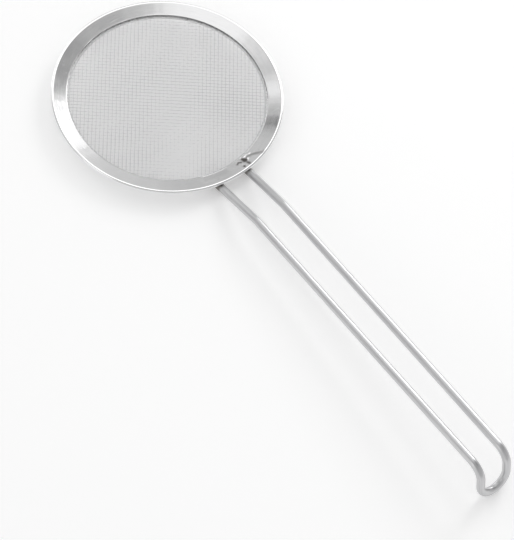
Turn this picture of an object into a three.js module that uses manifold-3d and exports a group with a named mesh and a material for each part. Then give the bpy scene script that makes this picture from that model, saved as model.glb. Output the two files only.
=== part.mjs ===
// Fine-mesh skimmer: a folded rim that grips two layers of woven mesh, and a handle bent from one
// wire, spot welded under the rim. Millimetres, +Z up, +X from the head towards the hook. The
// skimmer stands on z = 0, on the two ends of the wire and on the bottom of the hook.

import * as THREE from 'three';
import { mergeVertices } from 'three/addons/utils/BufferGeometryUtils.js';
import Module from 'manifold-3d';

const wasm = await Module();
wasm.setup();

// Rim
const rimDiameter = 120;          // over the folded outer edge
const rimWidth = 8.3;             // from the outer edge to the lip of the upper leaf
const rimSlope = THREE.MathUtils.degToRad(13.2);
const stripThickness = 0.5;
const upperLipWidth = 0.8;        // flat lip that presses on the mesh
const lowerLipWidth = 2.0;        // flat lip under the mesh

// Mesh discs
const fineMeshThickness = 0.3;
const supportMeshThickness = 0.5;
const meshClearance = 0.05;       // between two layers in the fold
const meshEdgeGap = 1.6;          // from the edge of the discs to the bottom of the fold

// Handle wire
const wireDiameter = 4.2;
const wireUnderRim = 7.6;         // how far each end reaches in under the rim
const rootSpacing = 17.7;         // centre to centre at the ends
const kinkSpacing = 17.0;         // at the kinks
const hookSpacing = 15.9;         // at the hook
const kinkFromRim = 27.4;         // from the outer edge of the rim to the kinks
const handleReach = 260.5;        // from the middle of the head to the corner of the hook
const kinkBend = { radius: 14, steps: 3 };
const hookBend = { radius: 8.3, steps: 8 };
const hookAngle = THREE.MathUtils.degToRad(76);   // below level
const hookLegLength = 5.0;        // straight stretch between the bend and the loop
const loopDepth = 8.6;

// Spot welds, two on each leg
const weldGap = 0.3;              // the welds hold the wire this far off the rim
const weldClearance = 0.05;
const weldLength = 2.8;
const weldWidth = 3.4;
const weldPitch = 3.2;

// Facets
const ringSegments = 72;
const foldSteps = 6;
const wireSides = 16;
const loopSteps = 14;

const steel = { metalness: 1.0, roughness: 0.22 };
const rimMaterial = new THREE.MeshStandardMaterial({ color: 0xd3d4d6, ...steel });
const wireMaterial = new THREE.MeshStandardMaterial({ color: 0xc9cacc, ...steel });
const meshMaterial = new THREE.MeshStandardMaterial({ color: 0xb9babb, metalness: 0.9, roughness: 0.45 });
const weldMaterial = new THREE.MeshStandardMaterial({ color: 0x9c9a97, metalness: 0.9, roughness: 0.5 });

// Radii and heights that follow from the sizes above

const rimRadius = rimDiameter / 2;
const wireRadius = wireDiameter / 2;
const slotHeight = fineMeshThickness + supportMeshThickness + 3 * meshClearance;
const rimThickness = 2 * stripThickness + slotHeight;
const foldRadius = rimRadius - rimThickness / 2;
const bendRadius = rimRadius - rimWidth + upperLipWidth;

// The end of a leg lies on z = 0, and the rim lies a weld gap above the leg.
const rootX = Math.sqrt((rimRadius - wireUnderRim) ** 2 - (rootSpacing / 2) ** 2);
const rootHeight = wireRadius * Math.cos(rimSlope);
const underRimAtRoot = rootHeight + (wireRadius + weldGap) / Math.cos(rimSlope);
const underRimHeight = underRimAtRoot - (rimRadius - wireUnderRim - bendRadius) * Math.tan(rimSlope);

// Corner of a layer that lies a given distance above the underside of the rim
function layerCorner(offset) {
  return new THREE.Vector2(bendRadius - offset * Math.tan(rimSlope / 2), underRimHeight + offset);
}

// Point of that layer at a radius: flat inside the bend, sloping outside it
function layerPoint(offset, radius) {
  const corner = layerCorner(offset);
  const rise = Math.max(0, radius - corner.x) * Math.tan(rimSlope);
  return new THREE.Vector2(radius, corner.y + rise);
}

// Turns a profile of radius and height about the Z axis
function turned(points) {
  const geometry = new THREE.LatheGeometry(points, ringSegments);
  geometry.rotateX(Math.PI / 2);
  return geometry;
}

function solidOf(geometry) {
  const bare = geometry.index ? geometry.toNonIndexed() : geometry.clone();
  bare.deleteAttribute('normal');
  bare.deleteAttribute('uv');
  const merged = mergeVertices(bare, 1e-5);
  const vertProperties = new Float32Array(merged.attributes.position.array);
  const triVerts = new Uint32Array(merged.index.array);
  return new wasm.Manifold(new wasm.Mesh({ numProp: 3, vertProperties, triVerts }));
}

function geometryOf(solid) {
  const mesh = solid.getMesh();
  const geometry = new THREE.BufferGeometry();
  geometry.setAttribute('position', new THREE.BufferAttribute(mesh.vertProperties, 3));
  geometry.setIndex(new THREE.BufferAttribute(mesh.triVerts, 1));
  geometry.computeVertexNormals();
  return geometry;
}

// The rim: one strip, folded over at its outer edge, open towards the mesh
function rimBand() {
  const middle = layerPoint(rimThickness / 2, foldRadius);
  const fold = (radius, from, to) => {
    const arc = [];
    for (let i = 0; i <= foldSteps; i += 1) {
      const angle = rimSlope + from + (to - from) * i / foldSteps;
      arc.push(new THREE.Vector2(Math.cos(angle), Math.sin(angle)).multiplyScalar(radius).add(middle));
    }
    return arc;
  };
  const quarter = Math.PI / 2;
  const upperLip = rimRadius - rimWidth;
  const lowerLip = bendRadius - lowerLipWidth;
  const slotFloor = stripThickness;
  const slotRoof = stripThickness + slotHeight;
  return turned([
    layerPoint(0, lowerLip),
    layerCorner(0),
    ...fold(rimThickness / 2, -quarter, quarter),
    layerCorner(rimThickness),
    layerPoint(rimThickness, upperLip),
    layerPoint(slotRoof, upperLip),
    layerCorner(slotRoof),
    ...fold(slotHeight / 2, quarter, -quarter),
    layerCorner(slotFloor),
    layerPoint(slotFloor, lowerLip),
    layerPoint(0, lowerLip),
  ]);
}

// A mesh disc: flat in the middle, its edge bent up with the slope of the rim
function meshDisc(offset, thickness) {
  const edge = foldRadius - meshEdgeGap;
  return turned([
    new THREE.Vector2(0, underRimHeight + offset),
    layerCorner(offset),
    layerPoint(offset, edge),
    layerPoint(offset + thickness, edge),
    layerCorner(offset + thickness),
    new THREE.Vector2(0, underRimHeight + offset + thickness),
  ]);
}

// A bent wire: stretches that each have their own number of steps, so that the bends get the facets
class BentWire extends THREE.Curve {
  constructor() {
    super();
    this.stretches = [];
    this.steps = 0;
  }

  add(at, steps) {
    this.stretches.push({ at, start: this.steps, steps });
    this.steps += steps;
  }

  getPoint(t, target = new THREE.Vector3()) {
    const step = THREE.MathUtils.clamp(t, 0, 1) * this.steps;
    const found = this.stretches.find((stretch) => step <= stretch.start + stretch.steps);
    const stretch = found ?? this.stretches[this.stretches.length - 1];
    return target.copy(stretch.at((step - stretch.start) / stretch.steps));
  }

  getUtoTmapping(u) {
    return u;
  }
}

const straight = (from, to) => (t) => new THREE.Vector3().lerpVectors(from, to, t);

// A round bend between two straight stretches that would meet at a corner
function bend(before, corner, after, radius) {
  const into = new THREE.Vector3().subVectors(corner, before).normalize();
  const away = new THREE.Vector3().subVectors(after, corner).normalize();
  const angle = into.angleTo(away);
  const setback = radius * Math.tan(angle / 2);
  const axis = new THREE.Vector3().crossVectors(into, away).normalize();
  const start = new THREE.Vector3().copy(corner).addScaledVector(into, -setback);
  const end = new THREE.Vector3().copy(corner).addScaledVector(away, setback);
  const spoke = new THREE.Vector3().crossVectors(into, axis).multiplyScalar(radius);
  const centre = new THREE.Vector3().subVectors(start, spoke);
  const at = (t) => new THREE.Vector3().copy(spoke).applyAxisAngle(axis, angle * t).add(centre);
  return { start, end, at };
}

// How high the corner of the hook is, so that the bottom of the loop rests on z = 0
const loopStartHeight = wireRadius + loopDepth * Math.sin(hookAngle);

function hookCornerHeight(handleSlope) {
  const setback = hookBend.radius * Math.tan((hookAngle + handleSlope) / 2);
  return loopStartHeight + (hookLegLength + setback) * Math.sin(hookAngle);
}

function legCorners(side) {
  const kinkX = rimRadius + kinkFromRim;
  const root = new THREE.Vector3(rootX, side * rootSpacing / 2, rootHeight);
  const slopeAlongX = Math.tan(rimSlope) * Math.cos(Math.atan2(rootSpacing / 2, rootX));
  const kink = new THREE.Vector3(kinkX, side * kinkSpacing / 2, rootHeight + (kinkX - rootX) * slopeAlongX);
  let cornerHeight = hookCornerHeight(0);
  for (let i = 0; i < 6; i += 1) {
    cornerHeight = hookCornerHeight(Math.atan2(cornerHeight - kink.z, handleReach - kinkX));
  }
  const corner = new THREE.Vector3(handleReach, side * hookSpacing / 2, cornerHeight);
  const down = (cornerHeight - loopStartHeight) / Math.tan(hookAngle);
  const loopStart = new THREE.Vector3(handleReach + down, corner.y, loopStartHeight);
  return { root, kink, corner, loopStart };
}

const leftLeg = legCorners(-1);
const rightLeg = legCorners(1);

// Adds a leg to the path: straight from point to point, with a round bend at each inner point
function addLeg(path, points, bends) {
  let from = points[0];
  bends.forEach(({ radius, steps }, i) => {
    const { start, end, at } = bend(points[i], points[i + 1], points[i + 2], radius);
    path.add(straight(from, start), 1);
    path.add(at, steps);
    from = end;
  });
  path.add(straight(from, points[points.length - 1]), 1);
}

function handlePath() {
  const path = new BentWire();
  const side = leftLeg.loopStart;
  const loop = (t) => new THREE.Vector3(
    side.x + loopDepth * Math.cos(hookAngle) * Math.sin(Math.PI * t),
    side.y * Math.cos(Math.PI * t),
    side.z - loopDepth * Math.sin(hookAngle) * Math.sin(Math.PI * t),
  );
  addLeg(path, [leftLeg.root, leftLeg.kink, leftLeg.corner, leftLeg.loopStart], [kinkBend, hookBend]);
  path.add(loop, loopSteps);
  addLeg(path, [rightLeg.loopStart, rightLeg.corner, rightLeg.kink, rightLeg.root], [hookBend, kinkBend]);
  return path;
}

function wireAlong(path, radius) {
  const section = new THREE.Shape();
  for (let i = 0; i < wireSides; i += 1) {
    const angle = 2 * Math.PI * (i + 0.5) / wireSides;
    const point = [radius * Math.cos(angle), radius * Math.sin(angle)];
    if (i === 0) section.moveTo(...point);
    else section.lineTo(...point);
  }
  return new THREE.ExtrudeGeometry(section, { steps: path.steps, extrudePath: path, bevelEnabled: false });
}

// A spot weld: a pad of melted steel between the leg and the underside of the rim
function spotWeld(leg, along, cutters) {
  const direction = new THREE.Vector3().subVectors(leg.kink, leg.root).normalize();
  const across = new THREE.Vector3(0, 0, 1).cross(direction).normalize();
  const upwards = new THREE.Vector3().crossVectors(direction, across);
  const centre = new THREE.Vector3().copy(leg.root)
    .addScaledVector(direction, along)
    .addScaledVector(upwards, wireRadius);
  const pad = new THREE.SphereGeometry(1, 20, 14);
  pad.scale(weldLength / 2, weldWidth / 2, weldGap + stripThickness / 2);
  pad.applyMatrix4(new THREE.Matrix4().makeBasis(direction, across, upwards).setPosition(centre));
  return geometryOf(cutters.reduce((solid, cutter) => solid.subtract(cutter), solidOf(pad)));
}

const rimGeometry = rimBand();
const wirePath = handlePath();
const rimCutter = solidOf(rimGeometry).translate([0, 0, -weldClearance]);
const wireCutter = solidOf(wireAlong(wirePath, wireRadius + weldClearance));
const cutters = [rimCutter, wireCutter];
const supportOffset = stripThickness + meshClearance;
const fineOffset = supportOffset + supportMeshThickness + meshClearance;
const outerWeld = wireUnderRim - rimThickness / 2 - weldLength / 2;
const innerWeld = outerWeld - weldPitch;

const skimmer = new THREE.Group();

function place(name, geometry, material) {
  const mesh = new THREE.Mesh(geometry, material);
  mesh.name = name;
  skimmer.add(mesh);
}

place('rim_band', rimGeometry, rimMaterial);
place('fine_mesh', meshDisc(fineOffset, fineMeshThickness), meshMaterial);
place('support_mesh', meshDisc(supportOffset, supportMeshThickness), meshMaterial);
place('handle_wire', wireAlong(wirePath, wireRadius), wireMaterial);
place('weld_left_inner', spotWeld(leftLeg, innerWeld, cutters), weldMaterial);
place('weld_left_outer', spotWeld(leftLeg, outerWeld, cutters), weldMaterial);
place('weld_right_inner', spotWeld(rightLeg, innerWeld, cutters), weldMaterial);
place('weld_right_outer', spotWeld(rightLeg, outerWeld, cutters), weldMaterial);

// The origin is on the surface that the skimmer stands on, under the middle of its box.
const box = new THREE.Box3().setFromObject(skimmer);
skimmer.position.set(-(box.min.x + box.max.x) / 2, 0, -box.min.z);

export default skimmer;
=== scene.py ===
import math
import bpy
from mathutils import Matrix, Vector, noise


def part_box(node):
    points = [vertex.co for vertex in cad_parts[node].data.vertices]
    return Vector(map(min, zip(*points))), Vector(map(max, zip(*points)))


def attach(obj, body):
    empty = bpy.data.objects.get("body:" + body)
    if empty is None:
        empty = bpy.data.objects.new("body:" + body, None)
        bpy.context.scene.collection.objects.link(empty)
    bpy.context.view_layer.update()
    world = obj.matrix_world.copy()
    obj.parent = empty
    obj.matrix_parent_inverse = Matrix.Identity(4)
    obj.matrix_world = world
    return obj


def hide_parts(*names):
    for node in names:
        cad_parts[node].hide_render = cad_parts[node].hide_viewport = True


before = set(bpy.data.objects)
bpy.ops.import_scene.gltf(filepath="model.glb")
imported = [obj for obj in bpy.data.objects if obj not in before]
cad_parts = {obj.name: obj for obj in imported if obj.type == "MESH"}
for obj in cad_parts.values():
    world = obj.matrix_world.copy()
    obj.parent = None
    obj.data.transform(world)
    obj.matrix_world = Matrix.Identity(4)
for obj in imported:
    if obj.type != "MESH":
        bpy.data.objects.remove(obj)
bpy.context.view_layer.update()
mm = 0.001


class Signal:  # one output socket, so that node maths reads as plain sums
    def __init__(self, bench, socket):
        self.bench = bench
        self.socket = socket

    def maths(self, operation, first, second=0.0):
        return self.bench.node("ShaderNodeMath", {"operation": operation}, {0: first, 1: second})

    def __add__(self, other):
        return self.maths("ADD", self, other)

    def __radd__(self, other):
        return self.maths("ADD", other, self)

    def __sub__(self, other):
        return self.maths("SUBTRACT", self, other)

    def __rsub__(self, other):
        return self.maths("SUBTRACT", other, self)

    def __mul__(self, other):
        return self.maths("MULTIPLY", self, other)

    def __rmul__(self, other):
        return self.maths("MULTIPLY", other, self)

    def __truediv__(self, other):
        return self.maths("DIVIDE", self, other)

    def __rtruediv__(self, other):
        return self.maths("DIVIDE", other, self)

    def __gt__(self, other):
        return self.maths("GREATER_THAN", self, other)

    def __lt__(self, other):
        return self.maths("LESS_THAN", self, other)

    def unsigned(self):
        return self.maths("ABSOLUTE", self)

    def cosine(self):
        return self.maths("COSINE", self)

    def most(self, other):
        return self.maths("MAXIMUM", self, other)

    def least(self, other):
        return self.maths("MINIMUM", self, other)

    def step(self, start, end, low=0.0, high=1.0):  # a smooth step from low at start to high at end
        values = {"Value": self, "From Min": start, "From Max": end, "To Min": low, "To Max": high}
        return self.bench.node("ShaderNodeMapRange", {"interpolation_type": "SMOOTHSTEP"}, values)


class Bench:  # adds nodes to one tree
    def __init__(self, tree):
        self.tree = tree

    def node(self, kind, settings=None, values=None, output=0):
        made = self.tree.nodes.new(kind)
        for name, setting in (settings or {}).items():
            setattr(made, name, setting)
        for name, value in (values or {}).items():
            self.feed(made.inputs[name], value)
        return Signal(self, made.outputs[output])

    def feed(self, socket, value):
        if isinstance(value, Signal):
            self.tree.links.new(value.socket, socket)
        else:
            socket.default_value = value

    def split(self, vector):
        parts = self.node("ShaderNodeSeparateXYZ", {}, {"Vector": vector}).socket.node
        return [Signal(self, parts.outputs[i]) for i in range(3)]

    def join(self, x, y, z):
        return self.node("ShaderNodeCombineXYZ", {}, {"X": x, "Y": y, "Z": z})

    def vector(self, operation, first, second=(0, 0, 0), output=0):
        return self.node("ShaderNodeVectorMath", {"operation": operation}, {0: first, 1: second}, output)

    def grain(self, vector, scale, detail=2.0, roughness=0.5):
        values = {"Vector": vector, "Scale": scale, "Detail": detail, "Roughness": roughness}
        return self.node("ShaderNodeTexNoise", {"normalize": True}, values)

    def blend(self, factor, first, second):  # between two colours
        return self.node("ShaderNodeMix", {"data_type": "RGBA"}, {0: factor, 6: first, 7: second}, 2)


def startMaterial(name):
    material = bpy.data.materials.new(name)
    material.use_nodes = True
    material.node_tree.nodes.clear()
    return material, Bench(material.node_tree)


def closeMaterial(material, bench, looks):
    shader = bench.node("ShaderNodeBsdfPrincipled", {}, looks)
    end = bench.tree.nodes.new("ShaderNodeOutputMaterial")
    bench.tree.links.new(shader.socket, end.inputs["Surface"])
    return material


def addPiece(name, mesh, material=None):
    piece = bpy.data.objects.new(name, mesh)
    bpy.context.collection.objects.link(piece)
    if material:
        mesh.materials.append(material)
    return piece


def meshFrom(name, points, faces):
    mesh = bpy.data.meshes.new(name)
    mesh.from_pydata(points, [], faces)
    mesh.validate()
    mesh.shade_smooth()
    return mesh


def centreOf(node):
    low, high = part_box(node)
    return (Vector(low) + Vector(high)) / 2


def smooth(low, high, value):
    t = min(max((value - low) / (high - low), 0.0), 1.0)
    return t * t * (3 - 2 * t)


# The camera comes first: high up beyond the hook and to one side, looking back at the head
view = {
    "lens": 152.358,
    "sensor": 36.0,
    "place": (0.40913, -0.44646, 0.96772),
    "turn": math.radians(43.707),  # about the upright axis
    "tilt": math.radians(31.315),  # up from straight down
    "roll": math.radians(11.152),  # about its own line of sight
}
cameraData = bpy.data.cameras.new("camera")
cameraData.lens = view["lens"]
cameraData.sensor_width = view["sensor"]
cameraData.clip_start = 0.01
cameraData.clip_end = 100
camera = bpy.data.objects.new("camera", cameraData)
bpy.context.collection.objects.link(camera)
turn = Matrix.Rotation(view["turn"], 4, "Z") @ Matrix.Rotation(view["tilt"], 4, "X")
camera.matrix_world = Matrix.Translation(view["place"]) @ turn @ Matrix.Rotation(view["roll"], 4, "Z")
bpy.context.scene.camera = camera
bpy.context.scene.view_settings.view_transform = "Standard"

# Steel finishes
steelColour = (0.80, 0.80, 0.805, 1)
paleSteel = (0.86, 0.86, 0.862, 1)
midSteel = (0.65, 0.65, 0.655, 1)
dullSteel = (0.55, 0.55, 0.56, 1)

headLow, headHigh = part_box("rim_band")
headCentre = (Vector(headLow) + Vector(headHigh)) / 2
headCentre.z = headLow[2]

rimLooks = {
    "outerRadius": 59.97 * mm,
    "width": 8.3 * mm,
    "slope": math.radians(13.2),
    "strip": 0.5 * mm,
    "upperLip": 0.8 * mm,
    "lipSlope": math.radians(11.3),
    "lowerLip": 2.0 * mm,
    "thickness": 1.95 * mm,
    "bendSoftness": 0.45 * mm,  # half the width of the bend beside the lip
    "edgeShare": 0.42,  # how far the strip's edges are rounded, as a share of its thickness
    "around": 340,
    "weldedArc": math.radians(26),  # the arc over the welds has closer points
    "finely": 190,
    "foldSteps": 12,
    "topSteps": 21,
    "topCrowding": 1.25,  # over 1 brings the points closer together at the lip
    "underSteps": 14,
    "slotSteps": 7,
    "edgeSteps": 6,
    "hemReach": 0.8 * mm,  # the leaf's waves die out over this distance
    "hemCrease": 0.045 * mm,
    "creaseWidth": 0.22 * mm,
    "pressFade": (-1.2 * mm, -0.4 * mm),  # the weld marks die out here, from the crease inwards
    "waviness": 0.035 * mm,
    "waveScales": (5.1, 13.7, 260),
    "lipReach": 0.9 * mm,  # the notch and the step reach this far in from the lip
    "notchAngle": math.radians(56),
    "notchArc": math.radians(1.1),
    "notchDepth": 0.35 * mm,
    "stepDepth": 0.16 * mm,  # the strip's lap beside the notch
    "stepStart": 0.02,
    "stepEnd": 0.5,
    "roughness": 0.13,
    "bump": 0.16,
    "burnColour": (0.115, 0.109, 0.104, 1),
    "burnRoughness": 0.35,
}


def rimProfile(looks):
    # Points of the folded strip's outline, as (radius, height over the rim's underside, kind)
    half = looks["thickness"] / 2
    inner = half - looks["strip"]
    slope = looks["slope"]
    soft = looks["bendSoftness"]
    lip = looks["outerRadius"] - looks["width"]
    bend = lip + looks["upperLip"]
    fold = looks["outerRadius"] - half
    foldHeight = half + (fold - bend) * math.tan(slope)
    edge = looks["strip"] * looks["edgeShare"]
    topLip = lip + edge
    lowLip = lip + looks["upperLip"] - looks["lowerLip"] + edge
    points = []

    def along(offset, radius, lipSlope):  # a point of the leaf at that offset from the slot's middle
        start = bend - offset * math.tan(slope / 2)
        near = min(max((radius - start) / soft, -1.0), 1.0)
        steeper = math.tan(slope) - math.tan(lipSlope)
        rise = (radius - start) * math.tan(lipSlope) + max(0.0, radius - start - soft) * steeper
        return half + offset + rise + steeper * soft * (near + 1) ** 2 / 4

    def addLeaf(kind, offset, start, end, steps, first=0, lipSlope=0.0, crowding=1.0):
        for i in range(first, steps + 1):
            radius = start + (end - start) * (i / steps) ** crowding
            points.append((radius, along(offset, radius, lipSlope), kind))

    def addArc(kind, centre, reach, start, turned, steps, closed=False):
        for i in range(1, steps + closed):
            angle = start + turned * i / steps
            radius = centre[0] + reach[0] * math.cos(angle)
            points.append((radius, centre[1] + reach[1] * math.sin(angle), kind))

    down = math.radians(-90)
    thick = looks["strip"] / 2
    addLeaf("top", half, topLip, fold - half * math.sin(slope), looks["topSteps"],
            lipSlope=looks["lipSlope"], crowding=looks["topCrowding"])
    addArc("fold", (fold, foldHeight), (half, half), slope - down, -math.pi, looks["foldSteps"], True)
    addLeaf("under", -half, points[-1][0], lowLip, looks["underSteps"], first=1)
    addArc("edge", (lowLip, thick), (edge, thick), down, -math.pi, looks["edgeSteps"])
    addLeaf("slot", -inner, lowLip, fold + inner * math.sin(slope), looks["slotSteps"])
    addArc("slot", (fold, foldHeight), (inner, inner), down + slope, math.pi, looks["edgeSteps"])
    addLeaf("slot", inner, fold - inner * math.sin(slope), topLip, looks["slotSteps"])
    middle = (points[0][1] + points[-1][1]) / 2
    thick = (points[0][1] - points[-1][1]) / 2
    addArc("lip", (topLip, middle), (edge, thick), down, -math.pi, looks["edgeSteps"])
    return points


# The welds leave pits and a crease in the rim's upper leaf: offsets from each weld's middle, in mm
weldMarks = [
    {"node": "weld_right_inner", "path": [(-0.1, 0.4), (0.6, 0.9)], "size": 2.2, "depth": 0.20,
     "ridge": 0.01, "burn": 1.0},
    {"node": "weld_right_inner", "path": [(0.6, -3.9), (-0.1, -2.8), (0.5, -1.6)], "size": 1.1, "depth": 0.13,
     "ridge": 0.02, "burn": 0.85},
    {"node": "weld_right_inner", "path": [(0.0, 1.2), (-0.7, 3.6), (-0.4, 6.4), (0.7, 9.0), (1.9, 11.2)],
     "size": 1.4, "depth": 0.19, "ridge": 0.02, "burn": 0.6},
    {"node": "weld_right_outer", "path": [(0.5, -1.8)], "size": 1.2, "depth": 0.12,
     "ridge": 0.01, "burn": 0.95},
    {"node": "weld_right_outer", "path": [(-0.6, 1.1), (0.4, 1.5)], "size": 1.2, "depth": 0.12, "ridge": 0.01,
     "burn": 0.9},
    {"node": "weld_left_inner", "path": [(-1.2, -4.6), (0.2, 0.0), (0.9, 6.5)], "size": 3.2, "depth": 0.06,
     "ridge": 0.01, "burn": 0.06},
    {"node": "weld_left_outer", "path": [(0.0, 0.0)], "size": 1.6, "depth": 0.05, "ridge": 0.01, "burn": 0.1},
]
pressLooks = {
    "reach": 3.0,  # distances here are in sizes of the mark
    "pit": (0.25, 1.0),
    "ridgeAt": 1.3,
    "ridgeWidth": 0.4,
    "burnt": (0.3, 1.0),
    "unevenness": 0.25,
    "unevenScale": 700,
}
for mark in weldMarks:
    middle = centreOf(mark["node"])
    mark["places"] = [Vector((middle.x + x * mm, middle.y + y * mm, 0)) for x, y in mark["path"]]


def awayFrom(place, places):  # distance from a path seen from above
    best = min((place - spot).length for spot in places)
    for start, end in zip(places, places[1:]):
        run = end - start
        t = min(max((place - start).dot(run) / run.length_squared, 0.0), 1.0)
        best = min(best, (place - start - run * t).length)
    return best


def weldPress(place, looks):  # (how far the leaf moves up here, how burnt it is)
    rise = 0.0
    burn = 0.0
    flat = Vector((place.x, place.y, 0))
    uneven = looks["unevenness"] * noise.noise(flat * looks["unevenScale"])
    for mark in weldMarks:
        distance = awayFrom(flat, mark["places"]) / (mark["size"] * mm)
        if distance < looks["reach"]:
            distance += uneven
            fromRidge = abs(distance - looks["ridgeAt"])
            rise -= mark["depth"] * mm * (1 - smooth(*looks["pit"], distance))
            rise += mark["ridge"] * mm * (1 - smooth(0.0, looks["ridgeWidth"], fromRidge))
            burn = max(burn, mark["burn"] * (1 - smooth(*looks["burnt"], distance)))
    return rise, burn


def buildRim(looks):
    profile = rimProfile(looks)
    angles = [looks["weldedArc"] * (2 * i / looks["finely"] - 1) for i in range(looks["finely"])]
    rest = 2 * (math.pi - looks["weldedArc"])
    angles += [looks["weldedArc"] + rest * i / looks["around"] for i in range(looks["around"])]
    around = len(angles)
    lip = looks["outerRadius"] - looks["width"]
    crease = looks["outerRadius"] - looks["thickness"] / 2
    broad, narrow, fine = looks["waveScales"]
    burns = []
    points = []
    for angle in angles:
        direction = Vector((math.cos(angle), math.sin(angle), 0))
        fromNotch = (angle - looks["notchAngle"] + math.pi) % (2 * math.pi) - math.pi
        for radius, height, kind in profile:
            if kind in ("lip", "top"):
                nearLip = 1 - smooth(0.0, looks["lipReach"], radius - lip)
                bite = looks["notchDepth"] * (1 - smooth(0.0, looks["notchArc"], abs(fromNotch)))
                step = looks["stepDepth"] * smooth(0.0, looks["stepStart"], fromNotch)
                step *= 1 - smooth(looks["stepStart"], looks["stepEnd"], fromNotch)
                radius = radius + nearLip * (bite + step)
            place = headCentre + direction * radius + Vector((0, 0, height))
            if kind in ("top", "fold"):
                leaf = 1 - smooth(0.0, looks["hemReach"], radius - crease)
                wave = noise.noise(direction * broad) + 0.5 * noise.noise(direction * narrow)
                wave += 0.25 * noise.noise(place * fine) - 0.5
                place.z += leaf * looks["waviness"] * wave
                place.z -= looks["hemCrease"] * math.exp(-((radius - crease) / looks["creaseWidth"]) ** 2)
            burn = 0.0
            if kind == "top" and abs(angle) < looks["weldedArc"]:
                rise, burn = weldPress(place, pressLooks)
                place.z += rise * (1 - smooth(*looks["pressFade"], radius - crease))
            burns.append(burn)
            points.append(place)
    count = len(profile)
    faces = []
    for i in range(around):
        for j in range(count):
            a = i * count + j
            b = i * count + (j + 1) % count
            c = (i + 1) % around * count + (j + 1) % count
            d = (i + 1) % around * count + j
            faces.append((a, d, c, b))
    mesh = meshFrom("folded_rim", points, faces)
    mesh.attributes.new("weldBurn", "FLOAT", "POINT").data.foreach_set("value", burns)
    return mesh


def rimFinish(looks):
    material, bench = startMaterial("polishedRim")
    place = bench.node("ShaderNodeTexCoord", {}, {}, output=3)
    local = bench.vector("SUBTRACT", place, tuple(headCentre))
    x, y, z = bench.split(local)
    radius = bench.vector("LENGTH", bench.join(x, y, 0.0), output=1)
    flat = bench.vector("NORMALIZE", bench.join(x, y, 0.0))
    u, v, w = bench.split(flat)
    around = bench.join(u * 3.0, v * 3.0, radius * 1500.0)  # runs with the strip
    brushed = bench.grain(around, 1.6, 6.0, 0.62)
    blotch = bench.grain(local, 90.0, 4.0, 0.55)
    cloudy = bench.grain(local, 24.0, 2.0, 0.5)
    scratch = bench.grain(bench.join(x * 900.0, (x + y * 3.0) * 40.0, z * 100.0), 1.0, 3.0, 0.6)
    scratches = scratch.step(0.66, 0.72)
    hem = radius.step(looks["outerRadius"] - 1.5 * mm, looks["outerRadius"] - 0.9 * mm)
    rough = looks["roughness"] + 0.10 * (blotch - 0.5) + 0.07 * (brushed - 0.5) + 0.10 * scratches
    rough = rough - 0.03 * hem + 0.05 * (cloudy - 0.5)
    tone = bench.blend((blotch * 0.5 + brushed * 0.5).step(0.3, 0.7), steelColour, paleSteel)
    burn = bench.node("ShaderNodeAttribute", {"attribute_name": "weldBurn"}, {}, output=2)
    tone = bench.blend(burn, tone, looks["burnColour"])
    rough = rough + looks["burnRoughness"] * burn
    height = brushed * 0.6 + blotch * 0.5 + scratches * -0.6
    bump = bench.node("ShaderNodeBump", {}, {
        "Strength": looks["bump"], "Distance": 0.12 * mm, "Height": height})
    looksOf = {"Base Color": tone, "Metallic": 1.0, "Roughness": rough, "Normal": bump}
    return closeMaterial(material, bench, looksOf)


rimMaterial = rimFinish(rimLooks)
rim = addPiece("folded_rim", buildRim(rimLooks), rimMaterial)
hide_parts("rim_band")
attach(rim, "root")
print("stage: rim", len(rim.data.polygons))


# Woven wire. One tree lays parallel wires that rise and fall over the ones that cross them
def newTree(name, inputs):
    tree = bpy.data.node_groups.new(name, "GeometryNodeTree")
    tree.interface.new_socket("Geometry", in_out="INPUT", socket_type="NodeSocketGeometry")
    for label, (kind, value) in inputs.items():
        socket = tree.interface.new_socket(label, in_out="INPUT", socket_type="NodeSocket" + kind)
        if value is not None:
            socket.default_value = value
    tree.interface.new_socket("Geometry", in_out="OUTPUT", socket_type="NodeSocketGeometry")
    bench = Bench(tree)
    entry = tree.nodes.new("NodeGroupInput")
    sizes = {label: Signal(bench, entry.outputs[label]) for label in inputs}
    sizes["Geometry"] = Signal(bench, entry.outputs["Geometry"])
    return tree, bench, sizes


def closeTree(bench, shape):
    end = bench.tree.nodes.new("NodeGroupOutput")
    bench.feed(end.inputs[0], shape)


def runTree(name, tree, values, source=None):
    piece = addPiece(name, source or bpy.data.meshes.new(name))
    modifier = piece.modifiers.new("make", "NODES")
    modifier.node_group = tree
    for item in tree.interface.items_tree:
        if item.in_out == "INPUT" and item.name in values:
            modifier[item.identifier] = values[item.name]
    made = piece.evaluated_get(bpy.context.evaluated_depsgraph_get())
    mesh = bpy.data.meshes.new_from_object(made)
    piece.modifiers.clear()
    mesh.name = name
    piece.data = mesh
    return piece


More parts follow.
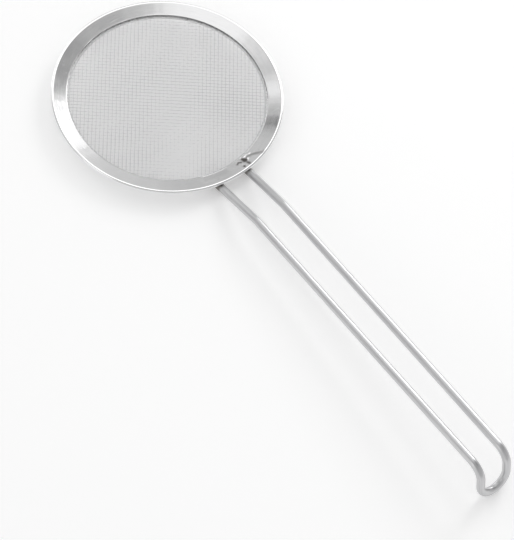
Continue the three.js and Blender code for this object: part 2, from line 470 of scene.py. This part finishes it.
def weaveTree():
    tree, bench, size = newTree("woven wire", {
        "Pitch": ("Float", 0.6 * mm),
        "Wire": ("Float", 0.15 * mm),
        "Sides": ("Int", 4),
        "Steps": ("Int", 1),
        "Crossings": ("Int", 181),
        "Radius": ("Float", 55 * mm),
        "Bend": ("Float", 52.5 * mm),
        "Slope": ("Float", 0.23),
        "Turn": ("Float", 0.0),
        "Phase": ("Float", 0.0),
        "Half": ("Float", 1.0),
        "Drift": ("Float", 0.3 * mm),
        "Seed": ("Int", 3),
        "Centre": ("Vector", (0, 0, 0)),
        "Material": ("Material", None),
    })
    pitch = size["Pitch"]
    reach = (size["Crossings"] - 1.0) * pitch * -0.5
    gap = pitch / size["Steps"]
    points = (size["Crossings"] - 1.0) * size["Steps"] + 1.0
    wire = bench.node("GeometryNodeMeshLine", {"mode": "OFFSET"}, {
        "Count": points, "Start Location": bench.join(reach, 0.0, 0.0), "Offset": bench.join(gap, 0.0, 0.0)})
    row = bench.node("GeometryNodeMeshLine", {"mode": "OFFSET"}, {
        "Count": size["Crossings"], "Start Location": bench.join(0.0, reach, 0.0),
        "Offset": bench.join(0.0, pitch, 0.0)})
    laid = bench.node("GeometryNodeInstanceOnPoints", {}, {"Points": row, "Instance": wire})
    laid = bench.node("GeometryNodeRealizeInstances", {}, {"Geometry": laid})
    here = bench.node("GeometryNodeInputPosition")
    x, y, z = bench.split(here)
    outside = bench.vector("LENGTH", here, output=1) > size["Radius"]
    otherHalf = size["Half"] * (y + pitch * 0.25) < 0.0
    cut = bench.node("GeometryNodeDeleteGeometry", {"domain": "POINT"}, {
        "Geometry": laid, "Selection": outside.most(otherHalf)})
    rise = size["Wire"] * 0.5 * (((x + y) / pitch + size["Phase"]) * math.pi).cosine()
    spun = bench.node("ShaderNodeVectorRotate", {"rotation_type": "Z_AXIS"}, {
        "Vector": bench.join(x, y, rise), "Angle": size["Turn"]})
    drift = bench.node("ShaderNodeTexNoise", {"noise_dimensions": "4D"}, {
        "Vector": spun, "W": size["Seed"] * 7.3, "Scale": 22.0, "Detail": 1.0}, output=1)
    drift = bench.vector("SUBTRACT", drift, (0.5, 0.5, 0.5))
    dx, dy, dz = bench.split(drift)
    radius = bench.vector("LENGTH", bench.join(x, y, 0.0), output=1)
    held = radius.step(20 * mm, 52 * mm, 1.0, 0.25)
    sag = (radius - size["Bend"]).most(0.0) * size["Slope"]
    moved = bench.vector("ADD", spun, bench.join(
        dx * size["Drift"] * held, dy * size["Drift"] * held, sag + dz * 0.04 * mm))
    moved = bench.vector("ADD", moved, size["Centre"])
    shaped = bench.node("GeometryNodeSetPosition", {}, {"Geometry": cut, "Position": moved})
    curves = bench.node("GeometryNodeMeshToCurve", {}, {"Mesh": shaped})
    section = bench.node("GeometryNodeCurvePrimitiveCircle", {"mode": "RADIUS"}, {
        "Resolution": size["Sides"], "Radius": size["Wire"] * 0.5})
    solid = bench.node("GeometryNodeCurveToMesh", {}, {
        "Curve": curves, "Profile Curve": section, "Fill Caps": True})
    smoothed = bench.node("GeometryNodeSetShadeSmooth", {}, {"Geometry": solid})
    joined = bench.node("GeometryNodeRealizeInstances", {}, {"Geometry": smoothed})
    closeTree(bench, bench.node("GeometryNodeSetMaterial", {}, {
        "Geometry": joined, "Material": size["Material"]}))
    return tree


def wireFinish(name, looks):
    material, bench = startMaterial(name)
    place = bench.node("ShaderNodeTexCoord", {}, {}, output=3)
    patches = bench.grain(place, looks["patchScale"], 3.0, 0.5)
    speck = bench.grain(place, 2600.0, 2.0, 0.6)
    tone = bench.blend(patches.step(0.35, 0.65), looks["dark"], looks["light"])
    rough = looks["roughness"] + 0.16 * (speck - 0.5) + 0.10 * (patches - 0.5)
    bump = bench.node("ShaderNodeBump", {}, {"Strength": 0.25, "Distance": 0.03 * mm, "Height": speck})
    values = {"Base Color": tone, "Metallic": 1.0, "Roughness": rough, "Normal": bump}
    return closeMaterial(material, bench, values)


discs = {  # what both layers of mesh share
    "radius": 55.5 * mm,
    "bend": 52.5 * mm,  # outside this they rise with the rim
    "turn": math.radians(-36.7),
    "drift": 0.9 * mm,
    "seed": 3,
}
weaves = {
    "fine": {
        "node": "fine_mesh",
        "pitch": 0.66 * mm,
        "wire": 0.15 * mm,
        "sides": 4,
        "steps": 1,
        "halves": {"near": 1.0, "far": -1.0},
        "height": 1.25 * mm,
        "finish": {"roughness": 0.34, "patchScale": 35.0,
                   "dark": (0.78, 0.78, 0.785, 1), "light": (0.86, 0.86, 0.862, 1)},
    },
    "support": {
        "node": "support_mesh",
        "pitch": 2.0 * mm,
        "wire": 0.25 * mm,
        "sides": 6,
        "steps": 4,
        "halves": {"all": 0.0},
        "height": 0.8 * mm,
        "finish": {"roughness": 0.36, "patchScale": 30.0,
                   "dark": (0.76, 0.76, 0.765, 1), "light": (0.84, 0.84, 0.845, 1)},
    },
}
weaveShape = weaveTree()
for weaveName, looks in weaves.items():
    finish = wireFinish(weaveName + "Wire", looks["finish"])
    crossings = 2 * math.ceil(discs["radius"] / looks["pitch"]) + 1
    made = []
    for threadName, spin, phase in (("warp", 0.0, 0.0), ("weft", math.pi / 2, 1.0)):
        for halfName, half in looks["halves"].items():
            piece = runTree("_".join((weaveName, threadName, halfName)), weaveShape, {
                "Pitch": looks["pitch"],
                "Wire": looks["wire"],
                "Sides": looks["sides"],
                "Steps": looks["steps"],
                "Crossings": crossings,
                "Radius": discs["radius"],
                "Bend": discs["bend"],
                "Slope": math.tan(rimLooks["slope"]),
                "Turn": discs["turn"] + spin,
                "Phase": phase,
                "Half": half,
                "Drift": discs["drift"],
                "Seed": discs["seed"],
                "Centre": tuple(headCentre + Vector((0, 0, looks["height"]))),
                "Material": finish,
            })
            made.append(piece)
            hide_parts(looks["node"])
            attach(piece, "root")
    print("stage:", weaveName, "mesh", [len(piece.data.polygons) * 2 for piece in made])

# The handle: one wire, bent into a long loop with a hook at the end
handle = {
    "wire": 4.2 * mm,
    "rimRadius": 60 * mm,
    "slope": math.radians(13.2),
    "underRim": 7.6 * mm,
    "rootSpacing": 17.7 * mm,
    "kinkSpacing": 17.0 * mm,
    "hookSpacing": 15.9 * mm,
    "kinkFromRim": 27.4 * mm,
    "reach": 260.5 * mm,
    "kinkBend": 14 * mm,
    "hookBend": 8.3 * mm,
    "hookAngle": math.radians(76),
    "hookLeg": 5.0 * mm,
    "loopDepth": 8.6 * mm,
    "bendStep": 0.7 * mm,
    "straightStep": 4 * mm,
    "loopSteps": 40,
    "sides": 28,
    "chamfer": 0.45 * mm,
    # The wire's darkened ends: partly weld heat tint, partly painted shade of the gap under the rim
    "tintAndShadeCore": 7.8 * mm,
    "tintAndShadeReach": 9.8 * mm,
    "heatTintAndShadeColour": (0.16, 0.145, 0.13, 1),
    "roughness": 0.32,
    "bump": 0.26,
}


def legCorners(size, side):
    wireRadius = size["wire"] / 2
    rootX = math.sqrt((size["rimRadius"] - size["underRim"]) ** 2 - (size["rootSpacing"] / 2) ** 2)
    rootHeight = wireRadius * math.cos(size["slope"])
    kinkX = size["rimRadius"] + size["kinkFromRim"]
    climb = math.tan(size["slope"]) * math.cos(math.atan2(size["rootSpacing"] / 2, rootX))
    root = Vector((rootX, side * size["rootSpacing"] / 2, rootHeight))
    kink = Vector((kinkX, side * size["kinkSpacing"] / 2, rootHeight + (kinkX - rootX) * climb))
    loopHeight = wireRadius + size["loopDepth"] * math.sin(size["hookAngle"])
    handleSlope = 0.0
    for i in range(7):  # the corner's height and the handle's slope settle each other
        setback = size["hookBend"] * math.tan((size["hookAngle"] + handleSlope) / 2)
        cornerHeight = loopHeight + (size["hookLeg"] + setback) * math.sin(size["hookAngle"])
        handleSlope = math.atan2(cornerHeight - kink.z, size["reach"] - kinkX)
    corner = Vector((size["reach"], side * size["hookSpacing"] / 2, cornerHeight))
    loopStart = Vector((size["reach"] + (cornerHeight - loopHeight) / math.tan(size["hookAngle"]),
                        corner.y, loopHeight))
    return [root, kink, corner, loopStart]


def roundCorner(before, corner, after, radius, step):
    into = (corner - before).normalized()
    away = (after - corner).normalized()
    angle = into.angle(away)
    setback = radius * math.tan(angle / 2)
    axis = into.cross(away).normalized()
    start = corner - into * setback
    spoke = into.cross(axis) * radius
    count = max(4, round(angle * radius / step))
    return [Matrix.Rotation(angle * i / count, 3, axis) @ spoke + start - spoke for i in range(count + 1)]


def handlePoints(size):
    legs = []
    for side in (-1, 1):
        root, kink, corner, loopStart = legCorners(size, side)
        leg = [root]
        leg += roundCorner(root, kink, corner, size["kinkBend"], size["bendStep"])
        leg += roundCorner(kink, corner, loopStart, size["hookBend"], size["bendStep"])
        legs.append(leg + [loopStart])
    start = legs[0][-1]
    loop = []
    for i in range(1, size["loopSteps"]):
        turned = math.pi * i / size["loopSteps"]
        depth = size["loopDepth"] * math.sin(turned)
        loop.append(Vector((start.x + depth * math.cos(size["hookAngle"]), start.y * math.cos(turned),
                            start.z - depth * math.sin(size["hookAngle"]))))
    corners = legs[0] + loop + legs[1][::-1]
    points = [corners[0]]
    for before, after in zip(corners, corners[1:]):  # long straight stretches get points in between
        count = max(1, round((after - before).length / size["straightStep"]))
        points += [before.lerp(after, i / count) for i in range(1, count + 1)]
    return points


def sweepTree():
    tree, bench, size = newTree("drawn wire", {
        "Wire": ("Float", 4.2 * mm),
        "Sides": ("Int", 28),
        "Material": ("Material", None),
    })
    curve = bench.node("GeometryNodeMeshToCurve", {}, {"Mesh": size["Geometry"]})
    thickness = bench.node("GeometryNodeInputNamedAttribute", {"data_type": "FLOAT"}, {"Name": "thickness"})
    curve = bench.node("GeometryNodeSetCurveRadius", {}, {"Curve": curve, "Radius": thickness})
    length = bench.node("GeometryNodeSplineParameter", {}, {}, output=1)
    curve = bench.node("GeometryNodeStoreNamedAttribute", {"data_type": "FLOAT", "domain": "POINT"}, {
        "Geometry": curve, "Name": "alongWire", "Value": length})
    section = bench.node("GeometryNodeCurvePrimitiveCircle", {"mode": "RADIUS"}, {
        "Resolution": size["Sides"], "Radius": size["Wire"] * 0.5})
    spot = bench.node("GeometryNodeInputPosition")
    stored = {"data_type": "FLOAT_VECTOR", "domain": "POINT"}
    section = bench.node("GeometryNodeStoreNamedAttribute", stored, {
        "Geometry": section, "Name": "aroundWire", "Value": spot})
    solid = bench.node("GeometryNodeCurveToMesh", {}, {
        "Curve": curve, "Profile Curve": section, "Fill Caps": True})
    solid = bench.node("GeometryNodeSetShadeSmooth", {}, {"Geometry": solid})
    solid = bench.node("GeometryNodeRealizeInstances", {}, {"Geometry": solid})
    closeTree(bench, bench.node("GeometryNodeSetMaterial", {}, {
        "Geometry": solid, "Material": size["Material"]}))
    return tree


def handleFinish(size, length):
    material, bench = startMaterial("drawnWire")
    along = bench.node("ShaderNodeAttribute", {"attribute_name": "alongWire"}, {}, output=2)
    around = bench.node("ShaderNodeAttribute", {"attribute_name": "aroundWire"}, {}, output=1)
    u, v, w = bench.split(around)
    drawn = bench.join(u * 700.0, v * 700.0, along * 14.0)
    lines = bench.grain(drawn, 2.6, 5.0, 0.6)
    broad = bench.grain(bench.join(u * 500.0, v * 500.0, along * 30.0), 1.0, 2.0, 0.5)
    pits = bench.grain(bench.join(u * 1000.0, v * 1000.0, along * 1000.0), 1.8, 2.0, 0.5).step(0.68, 0.74)
    tone = bench.blend((lines * 0.6 + broad * 0.4).step(0.35, 0.65), dullSteel, midSteel)
    fromEnd = along.least(length - along)
    tint = fromEnd.step(size["tintAndShadeReach"], size["tintAndShadeCore"])  # the wire's ends are darkened: partly weld heat tint, partly painted shade where the rim's underside shades them
    tone = bench.blend(tint * 0.85, tone, size["heatTintAndShadeColour"])
    rough = size["roughness"] + 0.20 * (lines - 0.5) + 0.16 * (broad - 0.5) + 0.15 * pits
    bump = bench.node("ShaderNodeBump", {}, {
        "Strength": size["bump"], "Distance": 0.12 * mm, "Height": lines * 0.8 + broad * 0.5 - pits * 0.5})
    values = {"Base Color": tone, "Metallic": 1.0, "Roughness": rough, "Normal": bump}
    return closeMaterial(material, bench, values)


def buildHandle(size):
    shift = Vector((headCentre.x, 0, 0))
    points = [point + shift for point in handlePoints(size)]
    for end, inner, place in ((0, 1, 1), (-1, -2, -1)):  # the sawn ends have their edge broken
        share = size["chamfer"] / (points[inner] - points[end]).length
        points.insert(place, points[end].lerp(points[inner], share))
    thickness = [1.0] * len(points)
    thickness[0] = thickness[-1] = 1 - size["chamfer"] / (size["wire"] / 2)
    length = sum((b - a).length for a, b in zip(points, points[1:]))
    path = bpy.data.meshes.new("handle_path")
    path.from_pydata(points, [(i, i + 1) for i in range(len(points) - 1)], [])
    path.attributes.new("thickness", "FLOAT", "POINT").data.foreach_set("value", thickness)
    return runTree("handle_loop", sweepTree(), {
        "Wire": size["wire"], "Sides": size["sides"], "Material": handleFinish(size, length)}, path)


loop = buildHandle(handle)
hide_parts("handle_wire")
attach(loop, "root")
print("stage: handle", len(loop.data.polygons))


# Spot welds between the wires and the underside of the rim
welds = {
    "nodes": ("weld_left_inner", "weld_left_outer", "weld_right_inner", "weld_right_outer"),
    "dark": (0.30, 0.27, 0.24, 1),
    "light": (0.50, 0.48, 0.46, 1),
    "roughness": 0.38,
}


def weldFinish(looks):
    material, bench = startMaterial("weldMetal")
    place = bench.node("ShaderNodeTexCoord", {}, {}, output=3)
    lumps = bench.grain(place, 900.0, 4.0, 0.6)
    tint = bench.grain(place, 300.0, 2.0, 0.5)
    tone = bench.blend(tint.step(0.35, 0.65), looks["dark"], looks["light"])
    rough = looks["roughness"] + 0.3 * (lumps - 0.5)
    bump = bench.node("ShaderNodeBump", {}, {"Strength": 0.6, "Distance": 0.1 * mm, "Height": lumps})
    values = {"Base Color": tone, "Metallic": 0.9, "Roughness": rough, "Normal": bump}
    return closeMaterial(material, bench, values)


weldMaterial = weldFinish(welds)
for node in welds["nodes"]:
    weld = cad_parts[node]
    weld.data.materials.clear()
    weld.data.materials.append(weldMaterial)
print("stage: welds")

# Floor, world and lights
floorLooks = {"reach": 12.0, "colour": (0.93, 0.93, 0.93, 1), "glow": 0.24}  # a lit white table
reach = floorLooks["reach"]
floorMaterial, floorBench = startMaterial("paleTable")
floorPlace = floorBench.node("ShaderNodeTexCoord", {}, {}, output=3)
floorGrain = floorBench.grain(floorPlace, 40.0, 3.0, 0.5)
closeMaterial(floorMaterial, floorBench, {
    "Base Color": floorLooks["colour"], "Roughness": 0.7 + 0.1 * (floorGrain - 0.5),
    "Emission Color": floorLooks["colour"], "Emission Strength": floorLooks["glow"]})
floorPoints = [(-reach, -reach, 0), (reach, -reach, 0), (reach, reach, 0), (-reach, reach, 0)]
floor = addPiece("floor", meshFrom("floor", floorPoints, [(0, 1, 2, 3)]), floorMaterial)

# Not an even light: the strip, patches and lobes were set to shape the reflections on this rim
studio = {
    "base": 0.63,
    "horizon": 0.04,  # below this height the pattern stops widening
    "strip": 0.56,
    "stripLean": -0.363,
    "stripPlace": -0.222,
    "stripEdge": (0.21, 0.14),  # from its middle: where it has ended, where it is full
    "stripStart": (-0.25, -0.10),
    "stripEnd": (6.0, 3.0),
    "stripDim": (0.1, 0.5, 0.75, 1.0),  # it is this much dimmer where it starts
    # patches of the ceiling: across, along, core, reach, change
    "patches": [(-0.24, 0.73, 0.13, 0.34, -0.26), (-0.75, 0.10, 0.03, 0.11, 0.50),
                (-0.947, 0.255, 0.045, 0.088, -0.50), (-0.95, 1.25, 0.10, 0.45, 0.06),
                (-0.50, -0.25, 0.16, 0.34, 0.42), (-0.05, 0.42, 0.02, 0.22, -0.09),
                (-0.55, 0.50, 0.08, 0.32, 0.90), (-1.30, 0.80, 0.10, 0.32, -0.09),
                (-0.40, 0.90, 0.02, 0.09, -0.22)],
    # broad lobes: direction, core and reach in degrees, change
    "lobes": [((0.24, 0.376, 0.88), 8, 20, -0.42), ((-0.38, 0.88, 0.20), 10, 24, 0.25),
              ((-0.03, -0.93, 0.38), 8, 21, 0.8), ((-0.95, -0.05, 0.25), 10, 26, 1.2),
              ((0.36, -0.38, 0.85), 10, 30, -0.12)],
}


def buildWorld(looks):
    # Brightness over the table, as a pattern on a level ceiling: across is +X and along is +Y
    world = bpy.data.worlds.new("studio")
    world.use_nodes = True
    world.node_tree.nodes.clear()
    bench = Bench(world.node_tree)
    toward = bench.node("ShaderNodeTexCoord", {}, {}, output=0)
    x, y, z = bench.split(toward)
    up = z.unsigned().most(looks["horizon"])
    across = x / up
    along = y / up
    aside = (across - (along * looks["stripLean"] + looks["stripPlace"])).unsigned()
    strip = aside.step(*looks["stripEdge"]) * along.step(*looks["stripStart"])
    strip = strip * along.step(*looks["stripEnd"]) * along.step(*looks["stripDim"])
    light = looks["base"] + looks["strip"] * strip
    for spotX, spotY, core, reach, change in looks["patches"]:
        away = bench.vector("LENGTH", bench.join(across - spotX, along - spotY, 0.0), output=1)
        light = light + change * away.step(reach, core)
    for direction, core, reach, change in looks["lobes"]:
        facing = bench.vector("DOT_PRODUCT", toward, tuple(Vector(direction).normalized()), output=1)
        light = light + change * facing.step(math.cos(math.radians(reach)), math.cos(math.radians(core)))
    colour = bench.join(light, light, light)
    background = bench.node("ShaderNodeBackground", {}, {"Color": colour, "Strength": 1.0})
    end = world.node_tree.nodes.new("ShaderNodeOutputWorld")
    world.node_tree.links.new(background.socket, end.inputs["Surface"])
    bpy.context.scene.world = world


key = {
    "direction": (-0.279, 0.810, 0.515),
    "distance": 1.2,
    "size": 0.45,
    "power": 2.6,
}


def addKey(looks):
    data = bpy.data.lights.new("key", "AREA")
    data.shape = "SQUARE"
    data.size = looks["size"]
    data.energy = looks["power"]
    panel = bpy.data.objects.new("key", data)
    bpy.context.collection.objects.link(panel)
    out = Vector(looks["direction"]).normalized()
    panel.location = out * looks["distance"]
    panel.rotation_mode = "QUATERNION"
    panel.rotation_quaternion = out.to_track_quat("Z", "Y")


buildWorld(studio)
addKey(key)
print("stage: light")
